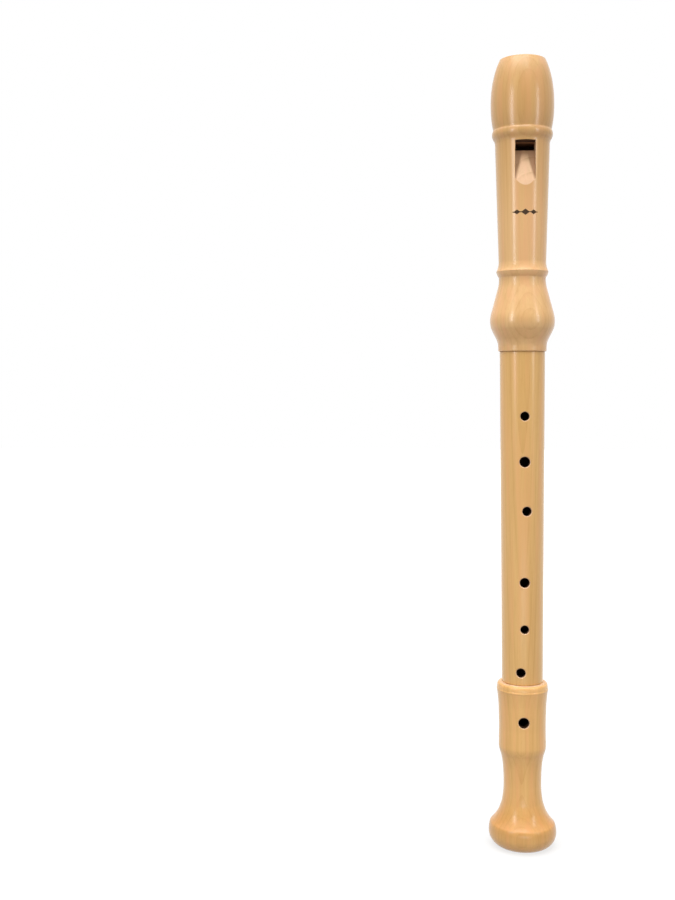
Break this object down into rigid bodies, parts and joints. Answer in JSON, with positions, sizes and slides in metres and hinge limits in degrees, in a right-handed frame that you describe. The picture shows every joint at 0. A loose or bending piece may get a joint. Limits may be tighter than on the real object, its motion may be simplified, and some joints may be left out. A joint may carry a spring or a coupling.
{
  "type": "alto recorder",
  "caption": "Wooden alto recorder in head, middle and foot joints, with a removable block, windway and labium, and corked tenons that turn and pull apart.",
  "frame": {"origin": "centre of the foot joint's end face, on the bore's axis, which is the point the recorder stands on", "axes": "+Z along the bore, from the foot to the beak; the window, the labium and the finger holes face -Y and the thumb hole faces +Y; +X is on the right of someone who faces the finger holes"},
  "size_m": [0.0408, 0.0408, 0.48],
  "materials": {
    "maple": "waxed and oiled maple, satin, with fine straight grain along the bore",
    "cedar": "plain red cedar, unfinished and matte",
    "cork": "sheet cork, sanded and greased, matte"
  },
  "bodies": {
    "middle": {"middle_joint": "maple"},
    "upper_lap": {"upper_cork": "cork"},
    "head": {"head_joint": "maple"},
    "block": {"block": "cedar"},
    "lower_lap": {"lower_cork": "cork"},
    "foot": {"foot_joint": "maple"}
  },
  "joints": [
    {"name": "head_turn", "type": "hinge", "parent": "middle", "child": "upper_lap", "pos_m": [0, 0, 0.3015], "axis": [0, 0, 1], "continuous": true},
    {"name": "head_pull", "type": "slide", "parent": "upper_lap", "child": "head", "axis": [0, 0, 1], "range_m": [0, 0.04]},
    {"name": "block_push", "type": "slide", "parent": "head", "child": "block", "axis": [0, 0, 1], "range_m": [0, 0.06]},
    {"name": "foot_turn", "type": "hinge", "parent": "middle", "child": "lower_lap", "pos_m": [0, 0, 0.0994], "axis": [0, 0, 1], "continuous": true},
    {"name": "foot_pull", "type": "slide", "parent": "lower_lap", "child": "foot", "axis": [0, 0, -1], "range_m": [0, 0.03]}
  ]
}
